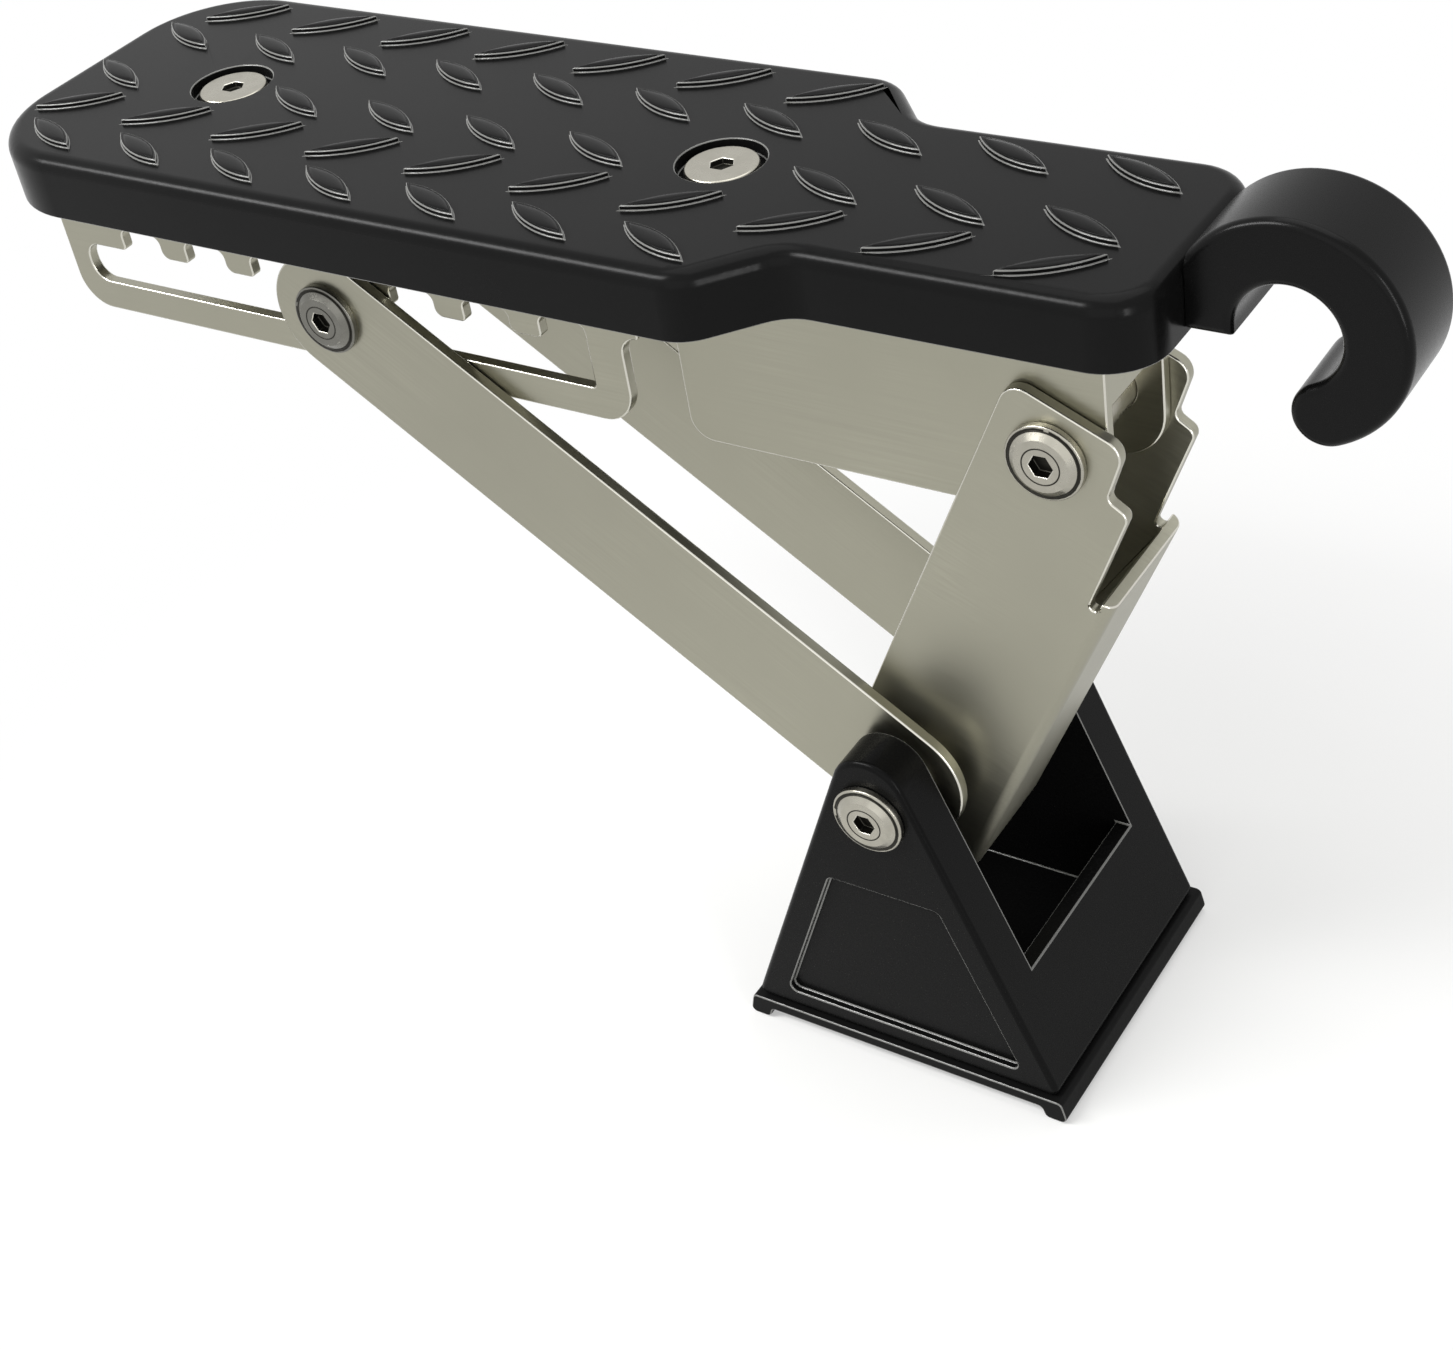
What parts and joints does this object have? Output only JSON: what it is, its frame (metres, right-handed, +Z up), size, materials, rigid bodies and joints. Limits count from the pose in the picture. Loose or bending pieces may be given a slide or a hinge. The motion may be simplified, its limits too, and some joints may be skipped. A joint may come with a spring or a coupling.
{
  "type": "car door step",
  "caption": "Folding step that hangs on a car door striker by its hook, with a checkered tread, a notched adjusting channel, a hinged leg with struts and a tilting foot.",
  "frame": {"origin": "axis of the hook's seat, at the middle of its width", "axes": "+X along the tread towards the hook, +Y across the step along the hook's seat, +Z up from the tread"},
  "size_m": [0.3582, 0.0946, 0.2407],
  "materials": {
    "tread_plastic": "satin black moulding",
    "hook_coating": "satin black coating",
    "foot_plastic": "black moulding",
    "pad_rubber": "matt black",
    "folded_steel": "satin plated steel",
    "hardware_steel": "plated steel"
  },
  "bodies": {
    "tread": {"tread_cover": "tread_plastic", "front_tread_screw": "hardware_steel", "rear_tread_screw": "hardware_steel", "front_tread_nut": "hardware_steel", "rear_tread_nut": "hardware_steel", "mounting_channel": "folded_steel", "hook": "hook_coating", "front_hook_screw": "hardware_steel", "rear_hook_screw": "hardware_steel", "leg_pivot_sleeve": "hardware_steel", "near_leg_screw": "hardware_steel", "far_leg_screw": "hardware_steel"},
    "leg": {"leg_channel": "folded_steel", "foot_pivot_sleeve": "hardware_steel", "near_foot_screw": "hardware_steel", "far_foot_screw": "hardware_steel", "near_strut_spacer": "hardware_steel", "far_strut_spacer": "hardware_steel", "near_ear_washer": "hardware_steel", "far_ear_washer": "hardware_steel"},
    "strut": {"near_strut": "folded_steel", "far_strut": "folded_steel", "cross_bolt": "hardware_steel", "cross_cap_nut": "hardware_steel"},
    "foot": {"foot_block": "foot_plastic", "foot_pad": "pad_rubber"}
  },
  "joints": [
    {"name": "leg_fold", "type": "hinge", "parent": "tread", "child": "leg", "pos_m": [-0.0492, 0, -0.0344], "axis": [0, 1, 0], "range_deg": [0, 40]},
    {"name": "strut_swing", "type": "hinge", "parent": "leg", "child": "strut", "pos_m": [-0.09144, 0, -0.13133], "axis": [0, 1, 0], "range_deg": [-57.5, 0]},
    {"name": "foot_tilt", "type": "hinge", "parent": "leg", "child": "foot", "pos_m": [-0.09144, 0, -0.13133], "axis": [0, 1, 0], "range_deg": [-30, 15]}
  ],
  "couplings": [
    {"joint": "strut_swing", "follows": "leg_fold", "ratio": -1.43}
  ]
}
